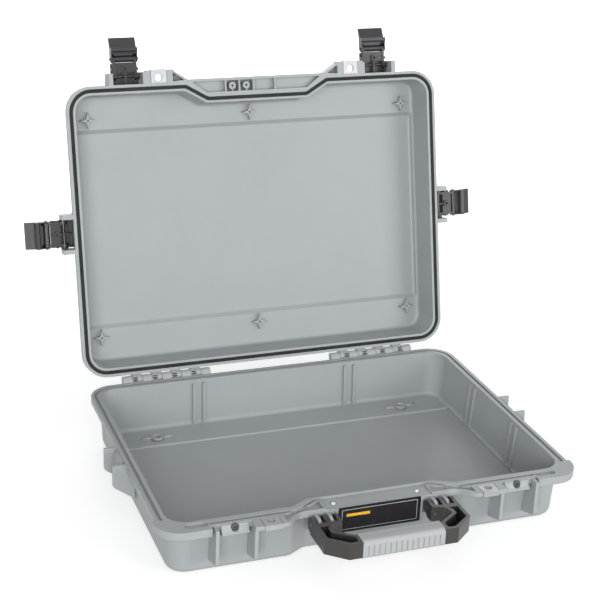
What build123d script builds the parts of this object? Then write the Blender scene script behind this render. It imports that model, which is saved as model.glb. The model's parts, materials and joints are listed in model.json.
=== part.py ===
from build123d import *
from math import cos, radians, sin, tan
import os

# Tool case: a shallow moulded box with a knuckle-hinged lid, four two-piece latches and a
# folding handle. It stands open, with its latches straight out and its handle level.
#
# Every size of the two shells is given in the closed case's own coordinates: X to the right,
# Y = 0 at the rim's back edge and negative towards the front, Z = 0 on the base's rim plane.
# The model's origin is the centre of the base's underside.

# Overall sizes
rim_width = 500.0
rim_depth = 369.0
rim_corner = 32.0
base_height = 66.0
lid_height = 47.0
open_angle = 103.5
wall = 3.0
rim_side = rim_width / 2
rim_front = -rim_depth

# Rim, gasket and parting plane
rim_thick = 8.0
rim_gap = 0.6
gasket_inset = 3.7
gasket_width = 4.5
gasket_depth = 4.0
gasket_stand = 0.3
base_groove_inset = 4.2
base_groove_width = 3.6
base_groove_depth = 2.5

# Base body
base_inset = 9.5
base_setback = 2.5
base_corner = 26.0
base_step = 12.0
base_edge = 8.0
base_floor = 5.0
base_floor_sink = 1.8
draft_angle = 3.5

# Lid body
lid_inset = 8.3
lid_corner = 24.0
lid_step = 16.5
lid_edge = 8.0
lid_band_rise = 5.0

# Middle of the front, which stands back for the handle
recess_outer = 94.0
recess_slope = 30.0
recess_fillet = 8.0

# Front flange, shared by both shells. Its pieces reach back to root_y, inside the rim
flange_thick = 5.0
root_y = rim_front + 19.0
tab_front = rim_front - 16.5
tab_inner = 113.0
tab_outer = 150.3
tab_root = 89.0
tab_bend = 11.0
tab_bend_reach = 4.0
front_wall = rim_front - 1.0

# Padlock plates
plate_width = 20.0
plate_back = rim_front - 0.5
plate_thick = 1.0
plate_margin = 0.6
plate_fold = 6.0
padlock_x = 130.0
padlock_y = rim_front - 7.0
padlock_radius = 4.5

# Corner guards of the base, each with a slot along its front
guard_side = rim_side + 3.5
guard_front = rim_front - 7.0
guard_start_y = rim_front + 26.0
guard_inner = rim_side - 54.5
guard_heel = 6.0
guard_thick = 9.5
guard_radius = 30.0
guard_slot_x = rim_side - 40.0
guard_slot_y = rim_front + 5.8
guard_slot_length = 26.0
guard_slot_width = 9.6
guard_slot_depth = 3.0

# Shelf and label wall behind the handle, and the pockets beside them
shelf_drop = 2.2
shelf_half = 63.5
shelf_back = rim_front + 22.5
shelf_hole_x = 50.6
shelf_hole_y = rim_front + 13.0
shelf_hole_radius = 2.5
shelf_sink_radius = 3.8
shelf_sink_depth = 1.0
pocket_depth = 3.6
pocket_margin = 2.5
pocket_front = rim_front + 2.8
label_wall_half = 52.5
label_wall_thick = 3.5
label_wall_height = 34.0
gusset_x = 40.0
gusset_thick = 2.4
gusset_drop = 12.0
label_half = 49.5
label_height = 31.0
label_top = 1.5
label_thick = 0.8
label_corner = 1.5

# Latches, each in its own frame: X along its pin, Y = 0 at the pin and negative outwards,
# Z towards the outer face of the lid
latch_front_x = rim_side - 80.6
latch_side_y = rim_front / 2 - 2.0
latch_reach = 10.0
latch_pin_height = 19.0
latch_gap = 38.2
latch_ear = 5.5
latch_ear_radius = 4.6
latch_ear_rise = 9.0
latch_pin_radius = 1.75
pin_clear = 0.05

# Link of a latch: a skin with an end wall, knuckles at both ends and a plate between
link_width = 37.0
link_body_width = 34.4
link_knuckle_radius = 4.8
link_knuckle_width = 6.4
link_top = 5.0
link_skin = 2.2
link_heel = 11.5
link_side = 16.2
link_side_thick = 2.0
cheek_x = 13.8
cheek_thick = 2.8
cheek_radius = 3.6
plate_half = 12.8
plate_face = -3.0
plate_sheet = 2.2
boss_y = -9.6
boss_radius = 3.9
boss_rise = 2.6
boss_hole = 1.7

# Lever of a latch: hinged on the link's far end, with a hook that grips the base's nose
lever_pin_reach = 22.0
lever_pin_radius = 1.5
lever_width = 34.0
lever_tongue = 24.0
lever_barrel = 3.5
lever_top = 5.2
lever_tip = 48.0
lever_tip_rise = 8.2
lever_lip = 2.4
hook_reach = 30.6
hook_end = 36.0
hook_depth = 6.5
hook_chamfer = 1.4
hook_seat = 0.6
lever_ear_thick = 1.4
lever_ear_radius = 4.4

# Catch noses of the base, under the latches' hooks, with a rib on both sides
nose_width = 30.8
nose_reach = 6.5
nose_face = 1.8
nose_bottom = -11.3
nose_top = -8.0
nose_root = -22.0
catch_top = -1.0
catch_rib_x = 22.0
catch_rib_thick = 4.0
catch_rib_round = 4.0
front_rib_reach = 12.0
front_rib_knee = -43.0
front_rib_foot = -51.0
side_rib_reach = 15.0
side_rib_knee = -28.0
side_rib_foot = -47.0
screw_z = -4.1
screw_face = 3.0
screw_radius = 1.9
screw_head_radius = 4.4
screw_head_thick = 2.0
screw_length = 10.0
screw_drive_radius = 1.5
screw_drive_depth = 1.2

# Hinge
hinge_back = 7.0
hinge_centre = 143.0
hinge_pin_radius = 2.0
hinge_pin_length = 118.0
knuckle_radius = 5.6
knuckle_pitch = 26.0
knuckle_base_width = 12.4
knuckle_clear = 0.4
knuckle_count = 5
knuckle_root = -2.0
knuckle_lid_width = knuckle_pitch - knuckle_base_width - 2 * knuckle_clear

# Handle: its hubs sit over two fins of the base each
handle_pin_y = rim_front - 10.0
handle_pin_z = -12.0
handle_pin_radius = 2.5
handle_fin_thick = 3.8
handle_fin_radius = 8.0
handle_hub_radius = 8.6
handle_inner = 53.5
handle_outer = 85.6
handle_tine = 4.0
handle_slot_radius = 14.0
handle_top = -4.0
handle_bottom = -23.0
handle_front = rim_front - 71.5
handle_knee = handle_front + 19.0
handle_middle = (handle_inner + handle_outer) / 2
handle_slot = (handle_outer - handle_inner - 3 * handle_tine) / 2
handle_fin_from = handle_tine + handle_slot / 2
handle_fin_x = (handle_inner + handle_fin_from, handle_outer - handle_fin_from)
handle_pin_length = handle_outer - handle_inner - 0.6
arm_round = 5.0
arm_wall = 4.0
arm_pocket_depth = 15.5
arm_pocket_round = 2.5

# Grip
grip_half = 48.3
grip_back = rim_front - 48.5
grip_front = rim_front - 71.0
grip_top = -4.0
grip_bottom = -26.0
grip_corner = 5.0
grip_grooves = 14
groove_wide = 1.4
groove_deep = 0.9
grip_band = 10.0
core_margin = 5.0
core_corner = 3.0

# Raised band across the lid, and the lid's front block
lid_band_back = -57.5
lid_band_front = rim_front + 58.0
lid_band_slope = 5.0
lid_band_round = 3.0
lid_band_edge = 7.0
lid_band_margin = 2.0
lid_band_sink = 4.0
lid_front_wall = rim_front - 2.8
lid_block_height = 15.0
lid_block_back = rim_front + 24.0
lid_block_half = 60.0
lid_tab_back = rim_front + 11.0
lid_tab_outer = latch_front_x - (latch_gap + latch_ear) / 2
lid_cheek_thick = 2.5
cell_walls = (-86.0, -42.5, -24.1, -4.8, 24.4, 86.0)
boss_cells = (-42.5, -24.1)
cell_wall = 2.4
cell_front = rim_front + 0.7
cell_back = rim_front + 14.5
cell_slant = 18.0
cell_depth = 7.0
cell_boss_depth = 12.5
cell_boss_radius = 4.7
cell_boss_hole = 1.4
cell_boss_drop = 1.0
cell_web = 1.6
corner_cell_x = 97.0

# Star bosses of the lid
star_x = rim_side - 34.0
star_front = rim_front + 43.7
star_back = -44.7
star_height = 37.5
star_out = 10.5
star_in = 2.9
star_core = 3.4
star_hole = 1.3
star_hole_depth = 4.0

# Paired ribs, lowered floor and floor bosses inside the base
pair_gap = 13.4
pair_rib = 3.8
pair_rise = 3.2
pair_top = 4.0
pair_foot = 63.0
pair_back_x = 105.0
pair_side_y = (rim_front / 3 + 2.0, 2 * rim_front / 3 + 10.0)
floor_band_back = -64.0
floor_band_front = rim_front + 63.0
floor_band_margin = 2.0
floor_band_lift = 1.0
floor_rib_x = rim_side - 81.0
floor_rib_y = -46.0
floor_rib_length = 44.0
floor_rib_width = 3.6
floor_rib_rise = 2.4
floor_boss_radius = 7.0
floor_hole_radius = 1.6
floor_sink_radius = 3.4

os.makedirs("parts", exist_ok=True)

# Frames of the two shells
hinge_z = rim_gap / 2
BASE = Plane(origin=(0, rim_depth / 2, base_height))
HINGE = Plane(origin=(0, rim_depth / 2 + hinge_back, base_height + hinge_z)).rotated((-open_angle, 0, 0))
LID = Plane(HINGE.location * Location((0, -hinge_back, -hinge_z)))
both = (-1, 1)


def on(body, plane):
    """A plane given in closed-case coordinates, carried by a body's frame."""
    return Plane(body.location * plane.location)


def level(body, z):
    """Horizontal plane of a body at height z."""
    return on(body, Plane.XY.offset(z))


def section(body, x):
    """Upright plane of a body at x: its sketches are drawn in (y, z)."""
    return on(body, Plane.YZ.offset(x))


def spot_at(plane, x, y, z=0.0):
    """Location on a plane, moved along its own axes."""
    return plane.location * Location((x, y, z))


def mirrored(points, side):
    """Points of an outline, on the left for side -1 and on the right for side 1."""
    return [(side * x, y) for x, y in points]


def case_outline(plane, inset, corner, step, setback=0.0):
    """Outline of the case on a plane. Its front middle stands back by step for the handle."""
    half = rim_side - inset
    front = inset + setback + rim_front
    slope = radians(recess_slope)
    outer = recess_outer + inset * tan(slope / 2)
    inner = outer - step / tan(slope)
    with BuildSketch(plane) as outline:
        with BuildLine():
            Polyline(
                (-half, -inset), (half, -inset), (half, front), (outer, front), (inner, front + step),
                (-inner, front + step), (-outer, front), (-half, front), close=True,
            )
        make_face()
        across = vertices().sort_by(Axis.X)
        fillet(across[:2] + across[-2:], corner)
        kinks = [v for v in vertices() if abs(v.X) < outer + 1]
        fillet(kinks, recess_fillet)
    return outline.sketch


def outline_ring(plane, inset, width):
    """Ring of a given width that follows the lid's outline."""
    with BuildSketch(plane) as ring:
        add(case_outline(Plane.XY, inset, rim_corner - inset, lid_step))
        add(case_outline(Plane.XY, inset + width, rim_corner - inset - width, lid_step), mode=Mode.SUBTRACT)
    return ring.sketch


def tapered_box(plane, inset, corner, step, setback, depth, edge):
    """Drafted block under the case's outline, with its far edge rounded."""
    with BuildPart() as box:
        extrude(case_outline(plane, inset, corner, step, setback), amount=depth)
        sides = faces().filter_by(lambda f: abs(f.normal_at().dot(plane.z_dir)) < 0.01)
        draft(sides, plane, draft_angle if depth > 0 else -draft_angle)
        ends = faces().sort_by(Axis(plane.origin, plane.z_dir))
        fillet(ends[-1 if depth > 0 else 0].edges(), edge)
    return box.part


def polygon(plane, points, rounding=0.0, rounded=()):
    """Closed straight-sided outline on a plane. The points listed in rounded are filleted."""
    with BuildSketch(plane) as shape:
        with BuildLine():
            Polyline(*points, close=True)
        make_face()
        if rounding:
            near = [vertices().sort_by_distance(Vector(*points[i]))[0] for i in rounded]
            fillet(near, rounding)
    return shape.sketch


def rounded_panel(plane, half, back, front, corner):
    """Rounded rectangle on a plane, from -half to half and from back to front."""
    with BuildSketch(plane) as panel:
        with Locations((0, (back + front) / 2)):
            RectangleRounded(2 * half, back - front, corner)
    return panel.sketch


def hull_profile(plane, centre, radius, corners):
    """Convex outline round a circle and some corner points."""
    with BuildSketch(plane) as shape:
        with Locations(centre):
            Circle(radius)
        with BuildLine(mode=Mode.PRIVATE) as legs:
            Polyline(*corners)
        make_hull(shape.edges() + legs.edges())
    return shape.sketch


# Places of the four latches: pin point and turn about Z, in closed-case coordinates
latches = {
    "front_left": Location((-latch_front_x, rim_front - latch_reach, latch_pin_height)),
    "front_right": Location((latch_front_x, rim_front - latch_reach, latch_pin_height)),
    "side_left": Location((-rim_side - latch_reach, latch_side_y, latch_pin_height), (0, 0, -90)),
    "side_right": Location((rim_side + latch_reach, latch_side_y, latch_pin_height), (0, 0, 90)),
}
front_latches = ("front_left", "front_right")
wall_inset = {name: base_inset + (base_setback if name in front_latches else 0) for name in latches}
front_rib = (front_rib_reach, front_rib_knee, front_rib_foot)
side_rib = (side_rib_reach, side_rib_knee, side_rib_foot)
rib_shape = {name: front_rib if name in front_latches else side_rib for name in latches}
knuckle_places = [(i - (knuckle_count - 1) / 2) * knuckle_pitch for i in range(knuckle_count)]


def latch_spot(body, name):
    """Frame of one latch's pin on a body."""
    return Plane(body.location * latches[name])


def from_rim(reach, height):
    """Point (y, z) of a latch frame, from the reach beyond the rim and the closed-case height."""
    return (latch_reach - reach, height - latch_pin_height)


def wall_plane(side, along):
    """Inner face of a base wall, leaning with the draft: side is back, left or right."""
    lean = radians(draft_angle)
    depth = base_inset + wall
    if side == "back":
        spot = Plane(origin=(along, -depth, 0), x_dir=(1, 0, 0), z_dir=(0, -cos(lean), sin(lean)))
    else:
        hand = 1 if side == "right" else -1
        spot = Plane(
            origin=(hand * (rim_side - depth), along, 0),
            x_dir=(0, -hand, 0), z_dir=(-hand * cos(lean), 0, sin(lean)),
        )
    return on(BASE, spot)


def rib_pair(plane):
    """Two upright ribs with round tops, side by side on a base wall."""
    with BuildSketch(plane) as ribs:
        with GridLocations(pair_gap, 0, 2, 1):
            with Locations((0, -pair_top - pair_rib / 2)):
                Circle(pair_rib / 2)
                Rectangle(pair_rib, pair_foot - pair_top - pair_rib / 2, align=(Align.CENTER, Align.MAX))
    return ribs.sketch


def lid_band(ceiling, inset):
    """Raised band across the lid, from below its flat ceiling up to the band's own height."""
    half = rim_side - lid_inset - lid_height * tan(radians(draft_angle)) - inset - lid_band_margin
    back = lid_band_back - inset
    front = lid_band_front + inset
    root = ceiling - lid_band_sink
    top = ceiling + lid_band_rise
    with BuildPart() as band:
        profile = polygon(
            section(LID, 0),
            [(back + lid_band_slope, root), (back + lid_band_slope, ceiling), (back, top),
             (front, top), (front - lid_band_slope, ceiling), (front - lid_band_slope, root)],
            lid_band_round, (2, 3),
        )
        extrude(profile, amount=half, both=True)
        ends = edges().filter_by(lambda e: abs(abs(e.center().X) - half) < 0.01)
        rim = [e for e in ends if LID.to_local_coords(e.center()).Z > root + 0.1]
        fillet(rim, lid_band_edge - inset)
    return band.part


base_cavity = tapered_box(
    level(BASE, 0), base_inset + wall, base_corner - wall, base_step, base_setback,
    base_floor - base_height, base_edge - wall,
)

# Base shell
with BuildPart() as base_shell:
    add(tapered_box(
        level(BASE, 0), base_inset, base_corner, base_step, base_setback, -base_height, base_edge,
    ))

    # Rim plate
    extrude(rounded_panel(level(BASE, 0), rim_side, 0, rim_front, rim_corner), amount=-rim_thick)

    # Front tabs that carry the padlock plates
    for side in both:
        with BuildSketch(level(BASE, 0)) as tab:
            with BuildLine():
                Polyline(*mirrored(
                    [(tab_inner, tab_front), (tab_outer, tab_front), (tab_outer, root_y),
                     (tab_root, root_y), (tab_root, front_wall + 1)], side,
                ))
                Spline(
                    *mirrored(
                        [(tab_root, front_wall + 1), (tab_root + tab_bend, front_wall - tab_bend_reach),
                         (tab_inner, tab_front)], side,
                    ),
                    tangents=((side, 0), (side, -0.35)),
                )
            make_face()
        extrude(tab.sketch, amount=-flange_thick)

    # Corner guards
    for side in both:
        guard = mirrored(
            [(guard_inner, root_y), (guard_inner, guard_front), (guard_side, guard_front),
             (guard_side, guard_start_y), (rim_side - guard_heel, guard_start_y + 2)], side,
        )
        extrude(polygon(level(BASE, 0), guard, guard_radius, (2,)), amount=-guard_thick)

    # Label wall below the handle's shelf, with two gussets behind it
    with BuildSketch(level(BASE, 0)) as label_wall:
        with Locations((0, front_wall + label_wall_thick / 2)):
            Rectangle(2 * label_wall_half, label_wall_thick)
    extrude(label_wall.sketch, amount=-label_wall_height)
    for side in both:
        gusset = polygon(
            section(BASE, side * gusset_x),
            [(front_wall + 2, 0), (front_wall + 2, -label_wall_height),
             (shelf_back, -label_wall_height - gusset_drop), (shelf_back, 0)],
        )
        extrude(gusset, amount=gusset_thick / 2, both=True)

    # Fins that hold the handle's pins
    for side in both:
        for fin_x in handle_fin_x:
            fin = hull_profile(
                section(BASE, side * fin_x), (handle_pin_y, handle_pin_z), handle_fin_radius,
                [(front_wall + 4, -flange_thick), (shelf_back, -flange_thick),
                 (shelf_back, -label_wall_height - 2), (front_wall + 4, 2 * handle_pin_z)],
            )
            extrude(fin, amount=handle_fin_thick / 2, both=True)

    # Catch noses and the ribs beside them
    for name in latches:
        spot = latch_spot(BASE, name)
        root = -wall_inset[name] - wall / 2
        nose = polygon(
            section(spot, 0),
            [from_rim(root, catch_top), from_rim(nose_face, catch_top),
             from_rim(nose_face + 0.8, nose_top / 2),
             from_rim(nose_reach - 1.8, nose_top), from_rim(nose_reach, nose_top - 1.6),
             from_rim(nose_reach, nose_bottom), from_rim(nose_face, nose_bottom),
             from_rim(root, nose_root)],
        )
        extrude(nose, amount=nose_width / 2, both=True)
        reach, knee, foot = rib_shape[name]
        for side in both:
            rib = polygon(
                section(spot, side * catch_rib_x),
                [from_rim(root, catch_top), from_rim(reach, catch_top),
                 from_rim(reach, knee), from_rim(root, foot)],
                catch_rib_round, (2,),
            )
            extrude(rib, amount=catch_rib_thick / 2, both=True)

    # Hinge knuckles with their webs, on the back of the rim
    for side in both:
        for place in knuckle_places:
            knuckle = hull_profile(
                section(BASE, side * (hinge_centre + place)), (hinge_back, hinge_z), knuckle_radius,
                [(knuckle_root, -rim_thick / 2), (knuckle_root, -rim_thick)],
            )
            extrude(knuckle, amount=knuckle_base_width / 2, both=True)

    # Inside of the base
    add(base_cavity, mode=Mode.SUBTRACT)
    for place in (-pair_back_x, pair_back_x):
        extrude(rib_pair(wall_plane("back", place)), amount=pair_rise)
    for hand in ("left", "right"):
        for place in pair_side_y:
            extrude(rib_pair(wall_plane(hand, place)), amount=pair_rise)
    floor = level(BASE, base_floor - base_height)
    floor_half = rim_side - base_inset - wall - base_height * tan(radians(draft_angle)) - floor_band_margin
    floor_top = base_floor - base_height + floor_band_lift
    floor_low = base_floor - base_height - base_floor_sink
    floor_slope = floor_top - floor_low
    floor_band = polygon(
        section(BASE, 0),
        [(floor_band_back + floor_slope, floor_top), (floor_band_back, floor_low),
         (floor_band_front, floor_low), (floor_band_front - floor_slope, floor_top)],
    )
    extrude(floor_band, amount=floor_half, both=True, mode=Mode.SUBTRACT)
    for side in both:
        with BuildSketch(floor) as floor_boss:
            with Locations((side * floor_rib_x, floor_rib_y)):
                SlotOverall(floor_rib_length, floor_rib_width)
                Circle(floor_boss_radius)
        extrude(floor_boss.sketch, amount=floor_rib_rise)
        with Locations(spot_at(floor, side * floor_rib_x, floor_rib_y, floor_rib_rise)):
            CounterBoreHole(floor_hole_radius, floor_sink_radius, 1.0, floor_rib_rise + 0.6)

    # Gasket seat: open along the sides, back and front, closed at the corner guards
    with BuildSketch(level(BASE, 0)) as groove:
        add(outline_ring(Plane.XY, base_groove_inset, base_groove_width))
        with Locations((-rim_side, guard_front), (rim_side, guard_front)):
            Rectangle(2 * (rim_side - guard_inner), 2 * (guard_start_y - guard_front), mode=Mode.SUBTRACT)
    extrude(groove.sketch, amount=-base_groove_depth, mode=Mode.SUBTRACT)

    # Shelf above the label, lower than the rim, with two screw holes
    with BuildSketch(level(BASE, 0)) as shelf:
        with Locations((0, (shelf_back + front_wall - 1) / 2)):
            Rectangle(2 * shelf_half, shelf_back - front_wall + 1)
    extrude(shelf.sketch, amount=-shelf_drop, mode=Mode.SUBTRACT)
    shelf_top = level(BASE, -shelf_drop)
    with Locations(*[spot_at(shelf_top, side * shelf_hole_x, shelf_hole_y) for side in both]):
        CounterBoreHole(shelf_hole_radius, shelf_sink_radius, shelf_sink_depth, rim_thick)

    # Pockets beside the shelf, slots in the corner guards and seats of the padlock plates
    for side in both:
        pocket = mirrored(
            [(shelf_half + pocket_margin, root_y), (tab_root + 3, root_y - 12), (tab_inner, root_y - 18),
             (tab_inner, tab_front + 5.5), (tab_root + 12, front_wall - 1), (tab_root, pocket_front),
             (shelf_half + pocket_margin, pocket_front)], side,
        )
        extrude(polygon(level(BASE, 0), pocket), amount=-pocket_depth, mode=Mode.SUBTRACT)
        with BuildSketch(level(BASE, 0)) as slot:
            with Locations((side * guard_slot_x, guard_slot_y)):
                SlotOverall(guard_slot_length, guard_slot_width)
        extrude(slot.sketch, amount=-guard_slot_depth, mode=Mode.SUBTRACT)
        with BuildSketch(level(BASE, 0)) as seat:
            with Locations((side * padlock_x, (plate_back + tab_front) / 2 - 1)):
                Rectangle(plate_width + 2 * plate_margin, plate_back - tab_front + 2)
        extrude(seat.sketch, amount=-plate_thick, mode=Mode.SUBTRACT)
        with Locations(spot_at(level(BASE, 0), side * padlock_x, padlock_y)):
            Hole(padlock_radius, depth=2 * flange_thick)

    # Bores for the hinge pins, the handle pins and the catch screws
    for side in both:
        with Locations(spot_at(section(BASE, side * hinge_centre), hinge_back, hinge_z)):
            Cylinder(hinge_pin_radius, hinge_pin_length, mode=Mode.SUBTRACT)
        with Locations(spot_at(section(BASE, side * handle_middle), handle_pin_y, handle_pin_z)):
            Cylinder(handle_pin_radius, handle_pin_length, mode=Mode.SUBTRACT)
    for name in front_latches:
        face = on(latch_spot(BASE, name), Plane.XZ)
        with Locations(spot_at(face, 0, screw_z - latch_pin_height, screw_face - latch_reach)):
            CounterBoreHole(screw_radius, screw_head_radius + 0.2, screw_head_thick, screw_length + 2)

base_shell.part.label = "base_shell"
export_step(base_shell.part, "parts/base_shell.step")


lid_cavity = tapered_box(
    level(LID, 0), lid_inset + wall, lid_corner - wall, lid_step, 0, lid_height - wall, lid_edge - wall,
)

# Lid shell
with BuildPart() as lid_shell:
    add(tapered_box(
        level(LID, rim_gap), lid_inset, lid_corner, lid_step, 0, lid_height - rim_gap, lid_edge,
    ))
    add(lid_band(lid_height, 0))

    # Rim plate and the honeycombed block in front of its recess
    extrude(case_outline(level(LID, rim_gap), 0, rim_corner, lid_step), amount=rim_thick)
    front_block = polygon(
        level(LID, rim_gap),
        [(-tab_inner, tab_front), (-tab_root - 3, lid_front_wall), (tab_root + 3, lid_front_wall),
         (tab_inner, tab_front), (tab_inner, lid_tab_back - 4), (lid_block_half, lid_block_back),
         (-lid_block_half, lid_block_back), (-tab_inner, lid_tab_back - 4)],
    )
    extrude(front_block, amount=lid_block_height)
    for side in both:
        tab = mirrored(
            [(tab_inner - 3, tab_front), (lid_tab_outer, tab_front), (lid_tab_outer, lid_tab_back),
             (tab_inner - 3, lid_tab_back)], side,
        )
        extrude(polygon(level(LID, rim_gap), tab), amount=flange_thick)
        cheek = polygon(
            section(LID, side * tab_inner),
            [(tab_front, rim_gap), (tab_front, rim_gap + lid_block_height),
             (lid_tab_back, rim_gap + lid_block_height), (lid_tab_back, rim_gap)],
        )
        extrude(cheek, amount=lid_cheek_thick / 2, both=True)

    # Ears that hold the latch pins
    for name in latches:
        spot = latch_spot(LID, name)
        root = -lid_inset - wall / 2
        for side in both:
            ear = hull_profile(
                section(spot, side * (latch_gap + latch_ear) / 2), (0, 0), latch_ear_radius,
                [from_rim(latch_reach + latch_ear_radius, rim_gap), from_rim(root, rim_gap),
                 from_rim(root, latch_pin_height + latch_ear_rise)],
            )
            extrude(ear, amount=latch_ear / 2, both=True)
        with Locations(section(spot, 0).location):
            Cylinder(latch_pin_radius, latch_gap + 2 * latch_ear + 1, mode=Mode.SUBTRACT)

    # Hinge knuckles, between those of the base
    for side in both:
        for place in knuckle_places[:-1]:
            knuckle = hull_profile(
                section(LID, side * (hinge_centre + place + knuckle_pitch / 2)), (hinge_back, hinge_z),
                knuckle_radius,
                [(knuckle_root, rim_gap + rim_thick / 2), (knuckle_root, rim_gap + rim_thick)],
            )
            extrude(knuckle, amount=knuckle_lid_width / 2, both=True)

    # Inside of the lid, deeper under the raised band
    add(lid_cavity, mode=Mode.SUBTRACT)
    add(lid_band(lid_height - wall, wall), mode=Mode.SUBTRACT)

    # Star bosses for a lining, each with a pilot hole
    for place_x in (-star_x, 0, star_x):
        for place_y in (star_front, star_back):
            tips = [(star_out if i % 2 == 0 else star_in, radians(45 * i)) for i in range(8)]
            with BuildSketch(level(LID, star_height)) as star:
                with BuildLine():
                    Polyline(*[(place_x + r * cos(a), place_y + r * sin(a)) for r, a in tips], close=True)
                make_face()
                with Locations((place_x, place_y)):
                    Circle(star_core)
            extrude(star.sketch, amount=lid_height - wall - star_height + 0.5)
            with Locations(spot_at(level(LID, star_height), place_x, place_y)):
                Cylinder(star_hole, 2 * star_hole_depth, mode=Mode.SUBTRACT)

    # Cells of the front block, two of them with screw bosses
    for left, right in zip(cell_walls[:-1], cell_walls[1:]):
        near = left + cell_wall / 2 if left > cell_walls[0] else left
        far = right - cell_wall / 2 if right < cell_walls[-1] else right
        near_back = near + (cell_slant if left == cell_walls[0] else 0)
        far_back = far - (cell_slant if right == cell_walls[-1] else 0)
        cell = polygon(
            level(LID, rim_gap),
            [(near, cell_front), (far, cell_front), (far_back, cell_back), (near_back, cell_back)],
        )
        extrude(cell, amount=cell_boss_depth if left in boss_cells else cell_depth, mode=Mode.SUBTRACT)
        if left in boss_cells:
            middle = (near + far) / 2
            cell_middle = (cell_front + cell_back) / 2
            boss_top = level(LID, rim_gap + cell_boss_drop)
            with BuildSketch(boss_top) as cell_boss:
                with Locations((middle, cell_middle)):
                    Circle(cell_boss_radius)
                with Locations((middle, (cell_middle + cell_back) / 2 + 1)):
                    Rectangle(cell_web, cell_back - cell_middle + 2)
            extrude(cell_boss.sketch, amount=cell_boss_depth)
            with Locations(spot_at(boss_top, middle, cell_middle)):
                Cylinder(cell_boss_hole, 16, mode=Mode.SUBTRACT)
    for side in both:
        corner_cell = mirrored(
            [(tab_inner - 1.5, tab_front + 4), (tab_inner - 1.5, front_wall - 0.5),
             (corner_cell_x, front_wall - 1.5)], side,
        )
        extrude(polygon(level(LID, rim_gap), corner_cell), amount=cell_boss_depth, mode=Mode.SUBTRACT)

    # Gasket groove
    gasket_groove = outline_ring(level(LID, rim_gap), gasket_inset, gasket_width)
    extrude(gasket_groove, amount=gasket_depth, mode=Mode.SUBTRACT)

    # Seats and holes of the padlock plates, and the hinge bores
    for side in both:
        with BuildSketch(level(LID, rim_gap)) as plate_seat:
            with Locations((side * padlock_x, (plate_back + tab_front) / 2 - 1)):
                Rectangle(plate_width + 2 * plate_margin, plate_back - tab_front + 2)
        extrude(plate_seat.sketch, amount=plate_thick, mode=Mode.SUBTRACT)
        with Locations(spot_at(level(LID, rim_gap), side * padlock_x, padlock_y)):
            Cylinder(padlock_radius, 4 * flange_thick, mode=Mode.SUBTRACT)
        with Locations(spot_at(section(LID, side * hinge_centre), hinge_back, hinge_z)):
            Cylinder(hinge_pin_radius + pin_clear, hinge_pin_length, mode=Mode.SUBTRACT)

lid_shell.part.label = "lid_shell"
export_step(lid_shell.part, "parts/lid_shell.step")

# Gasket, pressed to its closed height
with BuildPart() as lid_gasket:
    extrude(
        outline_ring(level(LID, gasket_stand), gasket_inset, gasket_width),
        amount=rim_gap + gasket_depth - gasket_stand,
    )
lid_gasket.part.label = "lid_gasket"
export_step(lid_gasket.part, "parts/lid_gasket.step")

# Padlock plates: steel sheet with a fold over the tab's front edge
for body, frame, start, up in (("base", BASE, 0, -1), ("lid", LID, rim_gap, 1)):
    for hand, side in (("left", -1), ("right", 1)):
        with BuildPart() as padlock_plate:
            sheet = polygon(
                section(frame, side * padlock_x),
                [(plate_back, start), (tab_front - plate_thick, start),
                 (tab_front - plate_thick, start + up * plate_fold), (tab_front, start + up * plate_fold),
                 (tab_front, start + up * plate_thick), (plate_back, start + up * plate_thick)],
            )
            extrude(sheet, amount=plate_width / 2, both=True)
            with Locations(spot_at(level(frame, start), side * padlock_x, padlock_y)):
                Cylinder(padlock_radius, 4 * plate_thick, mode=Mode.SUBTRACT)
        padlock_plate.part.label = f"{body}_padlock_plate_{hand}"
        export_step(padlock_plate.part, f"parts/{body}_padlock_plate_{hand}.step")

# Label plate, a blank field
with BuildPart() as label_plate:
    with BuildSketch(on(BASE, Plane.XZ.offset(-front_wall))) as label_field:
        with Locations((0, -label_top - label_height / 2)):
            RectangleRounded(2 * label_half, label_height, label_corner)
    extrude(label_field.sketch, amount=label_thick)
label_plate.part.label = "label_plate"
export_step(label_plate.part, "parts/label_plate.step")

# Screws above the front catch noses
with BuildPart() as catch_screws:
    for name in front_latches:
        face = on(latch_spot(BASE, name), Plane.XZ)
        seat_depth = screw_face - latch_reach - screw_head_thick
        head = spot_at(face, 0, screw_z - latch_pin_height, seat_depth)
        with Locations(head):
            Cylinder(screw_head_radius, screw_head_thick, align=(Align.CENTER, Align.CENTER, Align.MIN))
            Cylinder(screw_radius, screw_length, align=(Align.CENTER, Align.CENTER, Align.MAX))
        with Locations(head * Location((0, 0, screw_head_thick))):
            Cylinder(screw_drive_radius, 2 * screw_drive_depth, mode=Mode.SUBTRACT)
catch_screws.part.label = "catch_screws"
export_step(catch_screws.part, "parts/catch_screws.step")

# Hinge pins and handle pins
for hand, side in (("left", -1), ("right", 1)):
    with BuildPart() as hinge_pin:
        with Locations(spot_at(section(BASE, side * hinge_centre), hinge_back, hinge_z)):
            Cylinder(hinge_pin_radius, hinge_pin_length)
    hinge_pin.part.label = f"hinge_pin_{hand}"
    export_step(hinge_pin.part, f"parts/hinge_pin_{hand}.step")
    with BuildPart() as handle_pin:
        with Locations(spot_at(section(BASE, side * handle_middle), handle_pin_y, handle_pin_z)):
            Cylinder(handle_pin_radius, handle_pin_length)
    handle_pin.part.label = f"handle_pin_{hand}"
    export_step(handle_pin.part, f"parts/handle_pin_{hand}.step")

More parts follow.
